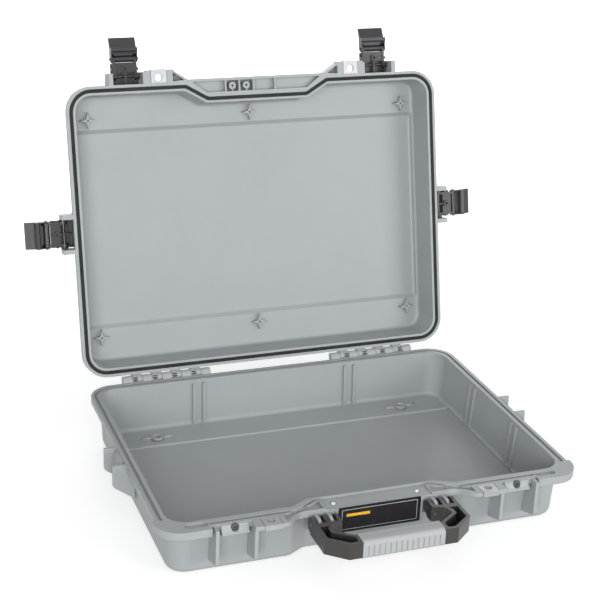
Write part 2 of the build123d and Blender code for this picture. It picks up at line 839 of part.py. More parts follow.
# Handle frame: two arms with three-tined hubs, joined by the core under the grip
arm_points = [
    (handle_inner, handle_pin_y), (handle_outer, handle_pin_y), (handle_outer, handle_knee),
    (grip_half + 15.2, handle_front), (grip_half, handle_front), (grip_half, handle_front + 15),
    (handle_inner + 17, handle_front + 31.5), (handle_inner + 13.5, handle_pin_y - 17.5),
    (handle_inner, handle_pin_y - 12),
]
arm_pocket_points = [
    (handle_outer - arm_wall, handle_pin_y - 18.5), (handle_outer - arm_wall, handle_knee + 1),
    (grip_half + 13.2, handle_front + arm_wall), (grip_half + arm_wall, handle_front + arm_wall),
    (grip_half + arm_wall, handle_front + 13.5), (handle_inner + 17 + arm_wall, handle_front + 29.5),
    (handle_inner + 16.5 + arm_wall, handle_pin_y - 23),
    (handle_inner + 14 + arm_wall, handle_pin_y - 18.5),
]
grip_centre = ((grip_back + grip_front) / 2, (grip_top + grip_bottom) / 2)
grip_deep = grip_back - grip_front
grip_high = grip_top - grip_bottom
with BuildPart() as handle_frame:
    for side in both:
        arm = polygon(level(BASE, handle_top), mirrored(arm_points, side), arm_round, (5, 6, 7))
        extrude(arm, amount=handle_bottom - handle_top)
        hub_plane = section(BASE, side * handle_middle)
        with BuildSketch(hub_plane) as hub:
            with Locations((handle_pin_y, handle_pin_z)):
                Circle(handle_hub_radius)
        extrude(hub.sketch, amount=(handle_outer - handle_inner) / 2, both=True)

        # The arm stands clear of the case behind the hub's circle
        with BuildSketch(hub_plane) as behind:
            with Locations((handle_pin_y, handle_pin_z)):
                Rectangle(3 * handle_hub_radius, 8 * handle_hub_radius, align=(Align.MIN, Align.CENTER))
                Circle(handle_hub_radius, mode=Mode.SUBTRACT)
        extrude(behind.sketch, amount=handle_outer - handle_inner, both=True, mode=Mode.SUBTRACT)
        pocket = polygon(
            level(BASE, handle_top), mirrored(arm_pocket_points, side), arm_pocket_round, (3, 4, 5),
        )
        extrude(pocket, amount=-arm_pocket_depth, mode=Mode.SUBTRACT)
        for fin_x in handle_fin_x:
            with Locations(spot_at(section(BASE, side * fin_x), handle_pin_y, handle_pin_z)):
                Cylinder(handle_slot_radius, handle_slot, mode=Mode.SUBTRACT)
        with Locations(spot_at(hub_plane, handle_pin_y, handle_pin_z)):
            Cylinder(handle_pin_radius + pin_clear, handle_outer - handle_inner + 4, mode=Mode.SUBTRACT)
    with BuildSketch(section(BASE, 0)) as core:
        with Locations(grip_centre):
            RectangleRounded(grip_deep - 2 * core_margin, grip_high - 2 * core_margin, core_corner)
    extrude(core.sketch, amount=grip_half + 1, both=True)
handle_frame.part.label = "handle_frame"
export_step(handle_frame.part, "parts/handle_frame.step")

# Ribbed overgrip
with BuildPart() as handle_grip:
    with BuildSketch(section(BASE, 0)) as grip_body:
        with Locations(grip_centre):
            RectangleRounded(grip_deep, grip_high, grip_corner)
    extrude(grip_body.sketch, amount=grip_half, both=True)
    groove_pitch = 2 * grip_half / (grip_grooves + 1)
    groove_low = level(BASE, grip_bottom - 1)
    with BuildSketch(groove_low) as grooves:
        with Locations((0, grip_front)):
            with GridLocations(groove_pitch, 0, grip_grooves, 1):
                Rectangle(groove_wide, 2 * groove_deep)
    extrude(grooves.sketch, amount=grip_top - grip_corner - grip_bottom, mode=Mode.SUBTRACT)
    with BuildSketch(level(BASE, grip_top)) as band_line:
        with Locations((0, grip_back - grip_band)):
            Rectangle(2 * grip_half - grip_band, groove_wide)
    extrude(band_line.sketch, amount=-groove_deep, mode=Mode.SUBTRACT)
    with BuildSketch(section(BASE, 0)) as core_hole:
        with Locations(grip_centre):
            RectangleRounded(grip_deep - 2 * core_margin, grip_high - 2 * core_margin, core_corner)
    extrude(core_hole.sketch, amount=grip_half + 1, both=True, mode=Mode.SUBTRACT)
handle_grip.part.label = "handle_grip"
export_step(handle_grip.part, "parts/handle_grip.step")

# Profiles of the latch pieces, in (y, z) of the latch's frame
skin_under = link_top - link_skin
skin_end = -lever_pin_reach + 5.6
link_back = link_heel - 2.1
skin_profile = [
    (link_heel, 1.5), (link_heel, 3.4), (link_back, link_top), (skin_end, link_top),
    (skin_end, skin_under), (link_back - 0.5, skin_under),
]
end_wall_profile = [(link_heel, 3.4), (link_heel, -3.5), (0, -3.5), (0, 3.4)]
plate_profile = [
    (boss_y + 4.6, plate_face), (-lever_pin_reach + 4.6, plate_face),
    (-lever_pin_reach + 4.6, plate_face + plate_sheet), (boss_y + 2.2, plate_face + plate_sheet),
    (boss_y + 2.2, 3.2), (boss_y + 4.6, 3.2),
]
middle_rib_profile = [(boss_y + 3.4, -3.6), (boss_y + 3.4, 3.2), (link_heel - 0.1, 3.2), (link_heel - 0.1, -3.6)]
lug_profile = [(boss_y + 2, -3.6), (boss_y - 1.2, -3.6), (boss_y - 1.2, 3.2), (boss_y + 2, 3.2)]
hook_profile = [
    (-hook_reach + 0.6, lever_top), (-hook_end - 0.4, lever_top - 0.2), (-lever_tip, lever_tip_rise),
    (-lever_tip - 0.6, lever_tip_rise - lever_lip), (-hook_end - 1.4, 1.2), (-hook_end, 0.2),
    (-hook_end, -hook_depth), (-hook_reach - hook_chamfer, -hook_depth),
    (-hook_reach, -hook_depth + hook_chamfer), (-hook_reach, hook_seat),
]
tongue_profile = (
    [(-lever_pin_reach + 1, 2.2), (-lever_pin_reach + 1.4, lever_top - 0.2)] + hook_profile
    + [(-lever_pin_reach - 4, hook_seat), (-lever_pin_reach - 2, -1.5), (-lever_pin_reach, -1.5)]
)
hood_profile = (
    [(-lever_pin_reach - 1.5, 4.0), (-lever_pin_reach - 1.5, lever_top - 0.2)] + hook_profile
    + [(-lever_pin_reach - 6.2, hook_seat)]
)
lever_ear_x = link_width / 2 - 2.2

# Latches: a link on the lid's pin, a lever on the link's far end, and their two pins
for name in latches:
    spot = latch_spot(LID, name)
    middle = section(spot, 0)
    pivot = middle.location
    far_pivot = spot_at(middle, -lever_pin_reach, 0)

    with BuildPart() as latch_pin:
        with Locations(pivot):
            Cylinder(latch_pin_radius, latch_gap + 2 * latch_ear)
    latch_pin.part.label = f"latch_pin_{name}"
    export_step(latch_pin.part, f"parts/latch_pin_{name}.step")

    with BuildPart() as latch_link:
        extrude(polygon(middle, skin_profile), amount=link_body_width / 2, both=True)
        for side in both:
            with BuildSketch(section(spot, side * (link_width - link_knuckle_width) / 2)) as end_knuckle:
                Circle(link_knuckle_radius)
            extrude(end_knuckle.sketch, amount=link_knuckle_width / 2, both=True)
            side_plane = section(spot, side * link_side)
            extrude(polygon(side_plane, end_wall_profile), amount=link_side_thick / 2, both=True)
            cheek = hull_profile(
                section(spot, side * cheek_x), (-lever_pin_reach, 0), cheek_radius,
                [(knuckle_root, -4.0), (knuckle_root, 3.2)],
            )
            extrude(cheek, amount=cheek_thick / 2, both=True)
            extrude(polygon(side_plane, lug_profile), amount=link_side_thick / 2 + 0.2, both=True)
        extrude(polygon(middle, middle_rib_profile), amount=link_side_thick / 2, both=True)
        extrude(polygon(middle, plate_profile), amount=plate_half, both=True)
        with BuildSketch(spot.offset(plate_face)) as boss:
            with Locations((0, boss_y)):
                Circle(boss_radius)
        extrude(boss.sketch, amount=-boss_rise)
        with Locations(spot_at(spot, 0, boss_y, plate_face - boss_rise)):
            Cylinder(boss_hole, 2 * boss_rise + 1.6, mode=Mode.SUBTRACT)
        with Locations(pivot):
            Cylinder(latch_pin_radius + pin_clear, link_width + 2, mode=Mode.SUBTRACT)
        with Locations(far_pivot):
            Cylinder(lever_pin_radius + pin_clear, link_width + 2, mode=Mode.SUBTRACT)
    latch_link.part.label = f"latch_link_{name}"
    export_step(latch_link.part, f"parts/latch_link_{name}.step")

    with BuildPart() as latch_lever:
        extrude(polygon(middle, tongue_profile), amount=lever_tongue / 2, both=True)
        extrude(polygon(middle, hood_profile), amount=lever_width / 2, both=True)
        with Locations(far_pivot):
            Cylinder(lever_barrel, lever_tongue)
        for side in both:
            side_ear = hull_profile(
                section(spot, side * lever_ear_x), (-lever_pin_reach, 0), lever_ear_radius,
                [(-hook_reach - 2, -lever_ear_radius), (-hook_reach - 2, link_top)],
            )
            extrude(side_ear, amount=lever_ear_thick / 2, both=True)
        with Locations(far_pivot):
            Cylinder(lever_pin_radius, link_width + 2, mode=Mode.SUBTRACT)
    latch_lever.part.label = f"latch_lever_{name}"
    export_step(latch_lever.part, f"parts/latch_lever_{name}.step")

    with BuildPart() as lever_pin:
        with Locations(far_pivot):
            Cylinder(lever_pin_radius, link_width)
    lever_pin.part.label = f"lever_pin_{name}"
    export_step(lever_pin.part, f"parts/lever_pin_{name}.step")
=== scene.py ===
import json
import math

import bmesh
import bpy
from mathutils import Matrix, Vector


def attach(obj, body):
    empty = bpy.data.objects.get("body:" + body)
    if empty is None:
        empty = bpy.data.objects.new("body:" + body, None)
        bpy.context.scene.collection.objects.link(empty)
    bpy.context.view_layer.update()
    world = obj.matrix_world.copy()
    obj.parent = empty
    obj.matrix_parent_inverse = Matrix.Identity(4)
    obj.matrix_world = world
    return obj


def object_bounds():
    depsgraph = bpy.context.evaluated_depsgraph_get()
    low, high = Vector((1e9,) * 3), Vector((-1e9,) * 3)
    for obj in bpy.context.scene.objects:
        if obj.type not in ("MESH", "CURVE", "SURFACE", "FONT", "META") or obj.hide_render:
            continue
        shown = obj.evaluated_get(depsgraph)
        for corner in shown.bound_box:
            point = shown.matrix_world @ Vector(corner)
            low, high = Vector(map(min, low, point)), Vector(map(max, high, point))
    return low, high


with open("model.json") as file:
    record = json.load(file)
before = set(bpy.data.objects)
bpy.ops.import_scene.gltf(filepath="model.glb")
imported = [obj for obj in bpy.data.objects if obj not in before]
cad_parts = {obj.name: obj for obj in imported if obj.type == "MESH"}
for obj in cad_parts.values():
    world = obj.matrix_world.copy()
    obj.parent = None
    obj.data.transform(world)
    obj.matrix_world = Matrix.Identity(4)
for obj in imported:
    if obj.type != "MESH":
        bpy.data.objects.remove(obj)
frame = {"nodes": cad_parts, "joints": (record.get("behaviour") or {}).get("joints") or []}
nodes = frame["nodes"]
cad_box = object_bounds()
joint_points = {joint["name"]: Vector(joint["pos_m"]) for joint in frame["joints"]}


def add_to_scene(name, data):
    """New object of the scene from a mesh, a camera or a lamp."""
    thing = bpy.data.objects.new(name, data)
    bpy.context.scene.collection.objects.link(thing)
    return thing


# Camera at the photograph's viewing angle

CAMERA_AT = Vector((-0.6056, -1.5048, 0.8884))
CAMERA_AIM = Vector((-0.04046, -0.0155, 0.24386))
CAMERA_ROLL = math.radians(2.32)
CAMERA_LENS = 89.27
SENSOR_WIDTH = 36.0
CLIP_NEAR, CLIP_FAR = 0.05, 50.0

camera_data = bpy.data.cameras.new("camera")
camera_data.sensor_width = SENSOR_WIDTH
camera_data.lens = CAMERA_LENS
camera_data.clip_start = CLIP_NEAR
camera_data.clip_end = CLIP_FAR
camera = add_to_scene("camera", camera_data)
toward = (CAMERA_AIM - CAMERA_AT).normalized()
level_right = toward.cross(Vector((0, 0, 1))).normalized()
level_up = level_right.cross(toward)
rolled_right = level_right * math.cos(CAMERA_ROLL) + level_up * math.sin(CAMERA_ROLL)
rolled_up = rolled_right.cross(toward)
camera_axes = Matrix((rolled_right, rolled_up, -toward)).transposed()
camera.matrix_world = Matrix.Translation(CAMERA_AT) @ camera_axes.to_4x4()
bpy.context.scene.camera = camera
bpy.context.scene.view_settings.view_transform = "Standard"


# Shader helpers. A noise is written as (scale, detail, roughness), and a remap as the span that it reads
# and the span that it gives.

MIX_FACTOR, MIX_FIRST, MIX_SECOND, MIX_COLOUR = 0, 6, 7, 2  # a Mix node's inputs and output for colours
BEVEL_SAMPLES = 4
EDGE_COSINES = (1.0, 0.86)  # between a point's normal and its rounded one, on a flat and on a full edge
GRAIN_DETAIL, GRAIN_ROUGHNESS = 2.0, 0.5
FULL = (0.0, 1.0)


class Shader:
    """A new material with a principled surface. Its helpers add nodes and return their outputs."""

    def __init__(self, name):
        self.material = bpy.data.materials.new(name)
        self.material.use_nodes = True
        self.tree = self.material.node_tree
        self.tree.nodes.clear()
        self.surface = self.add("ShaderNodeBsdfPrincipled")
        self.put(self.surface.outputs["BSDF"], self.add("ShaderNodeOutputMaterial"), "Surface")
        self.place = self.add("ShaderNodeTexCoord").outputs["Object"]

    def add(self, kind, **values):
        """New node with the given properties and input values."""
        node = self.tree.nodes.new(kind)
        for key, value in values.items():
            if hasattr(node, key):
                setattr(node, key, value)
            else:
                node.inputs[key].default_value = value
        return node

    def put(self, value, node, socket):
        """Joins an output to a node's input, or sets that input to a colour or a number."""
        if isinstance(value, bpy.types.NodeSocket):
            self.tree.links.new(value, node.inputs[socket])
        elif isinstance(value, tuple):
            node.inputs[socket].default_value = (*value, 1.0)
        else:
            node.inputs[socket].default_value = value

    def give(self, socket, value):
        """Gives one of the surface's inputs an output, a colour or a number."""
        self.put(value, self.surface, socket)

    def noise(self, scale, detail, roughness, stretch=(1, 1, 1)):
        """Noise in the object's own coordinates."""
        scaled = self.add("ShaderNodeMapping", Scale=stretch)
        self.put(self.place, scaled, "Vector")
        field = self.add("ShaderNodeTexNoise", Scale=scale, Detail=detail, Roughness=roughness)
        self.put(scaled.outputs["Vector"], field, "Vector")
        return field.outputs["Fac"]

    def grain(self, size):
        """Fine noise with spots of about the given size."""
        return self.noise(1 / size, GRAIN_DETAIL, GRAIN_ROUGHNESS)

    def remap(self, source, read, given):
        """Carries a value from the span that is read to the span that is given."""
        node = self.add("ShaderNodeMapRange")
        for socket, value in zip(("From Min", "From Max", "To Min", "To Max"), (*read, *given)):
            node.inputs[socket].default_value = value
        self.put(source, node, "Value")
        return node.outputs["Result"]

    def compute(self, operation, first, second):
        """Result of a Math node on two outputs or numbers."""
        node = self.add("ShaderNodeMath", operation=operation)
        self.put(first, node, 0)
        self.put(second, node, 1)
        return node.outputs["Value"]

    def mix(self, factor, first, second):
        """Mixes two colours, each a tuple or an output."""
        node = self.add("ShaderNodeMix", data_type="RGBA")
        self.put(factor, node, MIX_FACTOR)
        self.put(first, node, MIX_FIRST)
        self.put(second, node, MIX_SECOND)
        return node.outputs[MIX_COLOUR]

    def round_edges(self, radius):
        """Normal that turns softly over the object's edges."""
        return self.add("ShaderNodeBevel", samples=BEVEL_SAMPLES, Radius=radius).outputs["Normal"]

    def edge_mask(self, rounded):
        """How much a point lies on an outer or inner edge: 0 on flats, up to 1 on edges."""
        compare = self.add("ShaderNodeVectorMath", operation="DOT_PRODUCT")
        self.put(rounded, compare, 0)
        self.put(self.add("ShaderNodeNewGeometry").outputs["Normal"], compare, 1)
        return self.remap(compare.outputs["Value"], EDGE_COSINES, FULL)

    def relief(self, height, strength, depth, rounded=None):
        """Bump from a noise, laid over the rounded edges where they are given."""
        bump = self.add("ShaderNodeBump", Strength=strength, Distance=depth)
        self.put(height, bump, "Height")
        if rounded is not None:
            self.put(rounded, bump, "Normal")
        self.give("Normal", bump.outputs["Normal"])


def tinted(colour, factor):
    return tuple(min(1.0, c * factor) for c in colour)


def around(centre, offsets):
    return tuple(centre + offset for offset in offsets)


def inset(span, margin):
    return span[0] + margin, span[1] - margin


# Moulded plastic: a slow cloud and flow lines in the colour, edges lightened as wear and as painted
# highlight, painted shade in hollows, eroded grain

CLOUD = (9.0, 4.0, 0.6)
CLOUD_READ = (0.3, 0.7)
CLOUD_ROUGHNESS_READ = (0.25, 0.75)
CLOUD_ROUGHNESS = (-0.05, 0.06)
FLOW = (60.0, 3.0, 0.55)
FLOW_STRETCH = (1, 0.35, 1)
FLOW_READ = (0.45, 0.75)
FLOW_SHARE = (0.0, 0.35)
FLOW_GAIN = 1.5
# Patches of lighter edges: partly wear, partly painted highlight.
WEAR_HIGHLIGHT_NOISE = (300.0, 2.0, 0.6)
WEAR_HIGHLIGHT_READ = (0.35, 0.75)
WEAR_HIGHLIGHT_SHARE = (0.1, 0.5)
SHADE_MASK_SAMPLES = 4
SHADE_MASK_READ = (0.2, 0.75)
PAINTED_SHADE_TINT = 0.45
PLASTIC_GRAIN_SIZE = 0.0005
PLASTIC_GRAIN_DEPTH = 0.0004


def moulded(name, colour, roughness, grain, edge, variation=0.04, painted_shade=0.25, shade_reach=0.006, edge_wear_and_highlight_gain=1.35):
    """Injection-moulded plastic, its hollows darkened as painted shade and its edges lightened as wear and as
    painted highlight. One argument sets how far into a hollow the painted shade goes, another how much
    lighter the edges are made.
    """
    s = Shader(name)
    cloud = s.noise(*CLOUD)
    flow = s.noise(*FLOW, FLOW_STRETCH)
    darker, lighter = tinted(colour, 1 - variation), tinted(colour, 1 + variation)
    base = s.mix(s.remap(cloud, CLOUD_READ, FULL), darker, lighter)
    base = s.mix(s.remap(flow, FLOW_READ, FLOW_SHARE), base, tinted(colour, 1 + FLOW_GAIN * variation))
    rounded = s.round_edges(edge)
    # Edges lightened in patches: partly wear, partly a painted highlight for rounded edges catching the
    # light; strongest on the black plastics.
    worn_highlit_edges = s.compute("MULTIPLY", s.edge_mask(rounded), s.remap(s.noise(*WEAR_HIGHLIGHT_NOISE), WEAR_HIGHLIGHT_READ, WEAR_HIGHLIGHT_SHARE))
    base = s.mix(worn_highlit_edges, base, tinted(colour, edge_wear_and_highlight_gain))
    # Painted shade: hollows, creases and gaps between parts are darkened in the colour, found by ambient
    # occlusion.
    hollow_shade_mask = s.add("ShaderNodeAmbientOcclusion", samples=SHADE_MASK_SAMPLES, Distance=shade_reach).outputs["AO"]
    base = s.mix(s.remap(hollow_shade_mask, SHADE_MASK_READ, (painted_shade, 0.0)), base, tinted(colour, PAINTED_SHADE_TINT))
    s.give("Base Color", base)
    s.give("Roughness", s.remap(cloud, CLOUD_ROUGHNESS_READ, around(roughness, CLOUD_ROUGHNESS)))
    s.relief(s.grain(PLASTIC_GRAIN_SIZE), grain, PLASTIC_GRAIN_DEPTH, rounded)
    return s.material


# The plastics' painted shade is strongest on the black parts, where it turns the cavities near black.
case_material = moulded(
    "case_grey", (0.340, 0.363, 0.371), roughness=0.42, grain=0.10, edge=0.0009, variation=0.03, painted_shade=0.50,
    edge_wear_and_highlight_gain=1.5,
)
latch_material = moulded(
    "latch_black", (0.026, 0.026, 0.028), roughness=0.30, grain=0.10, edge=0.0005, variation=0.08, painted_shade=0.95,
    shade_reach=0.014, edge_wear_and_highlight_gain=4.5,
)
handle_material = moulded(
    "handle_black", (0.033, 0.031, 0.030), roughness=0.32, grain=0.14, edge=0.0008, variation=0.08, painted_shade=0.90,
    shade_reach=0.012, edge_wear_and_highlight_gain=4.0,
)
# Near-black plastic for the thin patches on the hinge knuckles that paint the shade of their recesses.
knuckle_shade_material = moulded("knuckle_painted_shade", (0.035, 0.038, 0.040), roughness=0.6, grain=0.10, edge=0.0003)


# Metal: a fine directional brush and faint stains

BRUSH = (900.0, 3.0, 0.6)
BRUSH_READ = (0.3, 0.7)
BRUSH_ROUGHNESS = (-0.08, 0.12)
BRUSH_STRENGTH = 0.12
BRUSH_DEPTH = 0.0002
ALONG_X, ALONG_Y, EVENLY = (8, 1, 1), (1, 12, 1), (1, 1, 1)
STAIN = (40.0, 4.0, 0.6)
STAIN_READ = (0.35, 0.7)
STAIN_SHADE = 0.8
METAL_EDGE = 0.0003


def metal(name, colour, roughness, stretch):
    """Brushed steel. stretch: the brush's scale along each axis."""
    s = Shader(name)
    brush = s.noise(*BRUSH, stretch)
    stain = s.noise(*STAIN)
    s.give("Base Color", s.mix(s.remap(stain, STAIN_READ, FULL), colour, tinted(colour, STAIN_SHADE)))
    s.give("Roughness", s.remap(brush, BRUSH_READ, around(roughness, BRUSH_ROUGHNESS)))
    s.give("Metallic", 1.0)
    s.relief(brush, BRUSH_STRENGTH, BRUSH_DEPTH, s.round_edges(METAL_EDGE))
    return s.material


plate_material = metal("plate_steel", (0.43, 0.435, 0.44), 0.50, ALONG_Y)
pin_material = metal("pin_steel", (0.52, 0.52, 0.51), 0.28, ALONG_X)
dark_pin_material = metal("pin_dark", (0.09, 0.09, 0.093), 0.36, ALONG_X)
rivet_material = metal("rivet_steel", (0.72, 0.72, 0.71), 0.24, EVENLY)
screw_material = metal("screw_steel", (0.13, 0.13, 0.135), 0.4, EVENLY)


# Rubber: a faint pale bloom and fine pores

BLOOM = (35.0, 5.0, 0.65)
BLOOM_READ = (0.4, 0.75)
BLOOM_COLOUR = (0.35, 0.35, 0.34)
BLOOM_ROUGHNESS_READ = (0.3, 0.7)
BLOOM_ROUGHNESS = (-0.06, 0.08)
PORE_DEPTH = 0.0003
RUBBER_EDGE = 0.0005


def rubber(name, colour, roughness, pore_size, pores, dust, gloss):
    """Matt rubber. dust: the most of the bloom's colour that shows."""
    s = Shader(name)
    bloom = s.noise(*BLOOM)
    s.give("Base Color", s.mix(s.remap(bloom, BLOOM_READ, (0.0, dust)), colour, BLOOM_COLOUR))
    s.give("Roughness", s.remap(bloom, BLOOM_ROUGHNESS_READ, around(roughness, BLOOM_ROUGHNESS)))
    s.give("Specular IOR Level", gloss)
    s.relief(s.grain(pore_size), pores, PORE_DEPTH, s.round_edges(RUBBER_EDGE))
    return s.material


grip_material = rubber(
    "grip_grey", (0.385, 0.400, 0.404), roughness=0.62, pore_size=0.0006, pores=0.2, dust=0.05, gloss=0.5,
)
gasket_material = rubber(
    "gasket_black", (0.013, 0.013, 0.014), roughness=0.7, pore_size=0.0004, pores=0.25, dust=0.06, gloss=0.25,
)


# Label: a black film with a thin pale outline and an amber stripe, placed by the object's x and z

LABEL_FIELD = (0.012, 0.012, 0.015)
LABEL_PALE = (0.50, 0.50, 0.48)
LABEL_AMBER = (0.80, 0.42, 0.03)
LABEL_OUTLINE_X = (-0.0455, 0.0455)
LABEL_OUTLINE_Z = (0.0365, 0.0615)
LABEL_LINE = 0.0006
LABEL_STRIPE_X = (-0.040, -0.012)
LABEL_STRIPE_Z = (0.0525, 0.0560)
LABEL_GLOSS = 0.13
SCUFF = (70.0, 4.0, 0.6)
SCUFF_READ = (0.5, 0.8)
SCUFF_SHARE = (0.0, 0.12)
SCUFF_COLOUR = (0.12, 0.12, 0.12)
SCUFF_ROUGHNESS_READ = (0.3, 0.7)
SCUFF_ROUGHNESS = (0.26, 0.38)
SCUFF_STRENGTH = 0.03
SCUFF_DEPTH = 0.0002


def printed_label(name):
    """Black film with a thin pale outline and one amber stripe near its upper left corner."""
    s = Shader(name)
    place = s.add("ShaderNodeSeparateXYZ")
    s.put(s.place, place, "Vector")

    def within(axis, low, high):
        """1 between two coordinates, else 0."""
        above = s.compute("GREATER_THAN", place.outputs[axis], low)
        below = s.compute("LESS_THAN", place.outputs[axis], high)
        return s.compute("MULTIPLY", above, below)

    def area(span_x, span_z):
        """1 inside a rectangle, else 0."""
        return s.compute("MULTIPLY", within("X", *span_x), within("Z", *span_z))

    outer = area(LABEL_OUTLINE_X, LABEL_OUTLINE_Z)
    inner = area(inset(LABEL_OUTLINE_X, LABEL_LINE), inset(LABEL_OUTLINE_Z, LABEL_LINE))
    ink = s.mix(s.compute("SUBTRACT", outer, inner), LABEL_FIELD, LABEL_PALE)
    ink = s.mix(area(LABEL_STRIPE_X, LABEL_STRIPE_Z), ink, LABEL_AMBER)
    scuff = s.noise(*SCUFF)
    s.give("Base Color", s.mix(s.remap(scuff, SCUFF_READ, SCUFF_SHARE), ink, SCUFF_COLOUR))
    s.give("Roughness", s.remap(scuff, SCUFF_ROUGHNESS_READ, SCUFF_ROUGHNESS))
    s.give("Specular IOR Level", LABEL_GLOSS)
    s.relief(scuff, SCUFF_STRENGTH, SCUFF_DEPTH)
    return s.material


label_material = printed_label("label_black")


# Looks of the CAD nodes, by how their names begin

NODE_LOOKS = (
    (("base_shell", "lid_shell"), case_material),
    (("base_padlock_plate", "lid_padlock_plate"), plate_material),
    (("hinge_pin", "handle_pin"), pin_material),
    (("latch_pin", "lever_pin"), dark_pin_material),
    (("latch_link", "latch_lever"), latch_material),
    ("catch_screws", screw_material),
    ("handle_frame", handle_material),
    ("handle_grip", grip_material),
    ("label_plate", label_material),
    ("lid_gasket", gasket_material),
)

for name, node in nodes.items():
    node.data.materials.clear()
    node.data.materials.append(next(look for start, look in NODE_LOOKS if name.startswith(start)))


# Shapes of the scene's own pieces

HANDS = ((-1, "left"), (1, "right"))
TURNED_SIDES = 32
SHARP_ANGLE = math.radians(50)
BEVEL_SEGMENTS = 2


def arc(radius, first, last, count):
    """Points on an arc about the origin, from one angle to another in degrees."""
    steps = [math.radians(first + (last - first) * i / (count - 1)) for i in range(count)]
    return [(radius * math.cos(a), radius * math.sin(a)) for a in steps]


def shaped(name, shape, material):
    """Object of the scene from a finished bmesh."""
    mesh = bpy.data.meshes.new(name)
    shape.to_mesh(mesh)
    shape.free()
    mesh.materials.append(material)
    return add_to_scene(name, mesh)


def loops_about_z(shape, profile):
    """Loop of vertices for each (radius, height) point of a profile, or one vertex for one on the axis."""
    angles = [2 * math.pi * i / TURNED_SIDES for i in range(TURNED_SIDES)]
    loops = []
    for radius, height in profile:
        spokes = angles if radius else angles[:1]
        loops.append([shape.verts.new((radius * math.cos(a), radius * math.sin(a), height)) for a in spokes])
    return loops


def skin(shape, low, high):
    """Smooth faces from a loop up to the next one, which may be a single vertex."""
    for i in range(len(low)):
        j = (i + 1) % len(low)
        tops = (high[0],) if len(high) == 1 else (high[j], high[i])
        shape.faces.new((low[i], low[j], *tops)).smooth = True


def turned(name, profile, material):
    """Solid of revolution about Z: flat at the first point of its profile, and on the axis at the last."""
    shape = bmesh.new()
    loops = loops_about_z(shape, profile)
    shape.faces.new(reversed(loops[0]))
    for low, high in zip(loops[:-1], loops[1:]):
        skin(shape, low, high)
    return shaped(name, shape, material)


def ring(name, profile, material):
    """Ring about Z whose section is the closed loop of the profile's points."""
    shape = bmesh.new()
    loops = loops_about_z(shape, profile)
    for low, high in zip(loops, loops[1:] + loops[:1]):
        skin(shape, low, high)
    bmesh.ops.recalc_face_normals(shape, faces=shape.faces)
    return shaped(name, shape, material)


def bar(name, outline, half, place, bevel, material):
    """Bar along X from a (y, z) outline and a half length, its sharp edges rounded, placed by a matrix."""
    shape = bmesh.new()
    ends = [[shape.verts.new((x, y, z)) for y, z in outline] for x in (-half, half)]
    shape.faces.new(reversed(ends[0]))
    shape.faces.new(ends[1])
    skin(shape, *ends)
    bmesh.ops.recalc_face_normals(shape, faces=shape.faces)
    sharp = [edge for edge in shape.edges if edge.calc_face_angle(0) > SHARP_ANGLE]
    bmesh.ops.bevel(shape, geom=sharp, offset=bevel, segments=BEVEL_SEGMENTS, affect="EDGES")
    bmesh.ops.transform(shape, matrix=place, verts=shape.verts)
    return shaped(name, shape, material)


# Rivets in the shelf's two holes: a shank with a domed head

RIVET_X = 0.0506
RIVET_Y = -0.1715
RIVET_SEAT = 0.0628
RIVET_PROFILE = (
    (0.0023, -0.0040), (0.0023, 0.0), (0.0031, 0.0), (0.0032, 0.0003), (0.0031, 0.0008),
    (0.0028, 0.0012), (0.0022, 0.0016), (0.0013, 0.0019), (0.0, 0.0020),
)

for side, hand in HANDS:
    rivet = turned(f"shelf_rivet_{hand}", RIVET_PROFILE, rivet_material)
    rivet.location = (side * RIVET_X, RIVET_Y, RIVET_SEAT)
    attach(rivet, "base")


# Latch details: a curled heel that closes each link against the rim, and a sleeve round each lever's pin.
# Their outlines are drawn about the joint, with y towards the case and z towards the lid's outer face.

LID_OPENING = 103.5
LATCH_TURNS = {"front_left": 0, "front_right": 0, "side_left": -90, "side_right": 90}
LATCH_BEVEL = 0.00015
HEEL_RADIUS = 0.0139
HEEL_THICK = 0.0007
HEEL_HALF = 0.0168
HEEL_TOP = [(0.0102, 0.0032)]
HEEL_ROOT = [(0.0112, 0.0018), (0.0102, 0.0020)]
HEEL_FIRST, HEEL_LAST, HEEL_INNER_FIRST = 12, -41, -2
HEEL_OUTER_POINTS, HEEL_INNER_POINTS = 9, 8
SLEEVE_RADIUS = 0.0044
SLEEVE_THICK = 0.0011
SLEEVE_HALF = 0.0122
SLEEVE_FIRST, SLEEVE_LAST = -25, 100
SLEEVE_POINTS = 12

heel_outline = (
    HEEL_TOP + arc(HEEL_RADIUS, HEEL_FIRST, HEEL_LAST, HEEL_OUTER_POINTS)
    + arc(HEEL_RADIUS - HEEL_THICK, HEEL_LAST, HEEL_INNER_FIRST, HEEL_INNER_POINTS) + HEEL_ROOT
)
sleeve_outline = (
    arc(SLEEVE_RADIUS, SLEEVE_FIRST, SLEEVE_LAST, SLEEVE_POINTS)
    + arc(SLEEVE_RADIUS - SLEEVE_THICK, SLEEVE_LAST, SLEEVE_FIRST, SLEEVE_POINTS)
)
latch_details = (
    ("link", "link_heel", heel_outline, HEEL_HALF),
    ("lever", "lever_sleeve", sleeve_outline, SLEEVE_HALF),
)
lid_turn = Matrix.Rotation(math.radians(-LID_OPENING), 3, "X")
for latch, turn in LATCH_TURNS.items():
    latch_frame = lid_turn @ Matrix.Rotation(math.radians(turn), 3, "Z")
    for body, detail, outline, half in latch_details:
        place = Matrix.Translation(joint_points[f"latch_{body}_{latch}"]) @ latch_frame.to_4x4()
        piece = bar(f"{detail}_{latch}", outline, half, place, LATCH_BEVEL, latch_material)
        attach(piece, f"{body}_{latch}")


# Painted shade on the lid's hinge knuckles: thin dark patches in the outer half of each knuckle stand in for
# the shade in its recesses, in two rows with the knuckle's bar between

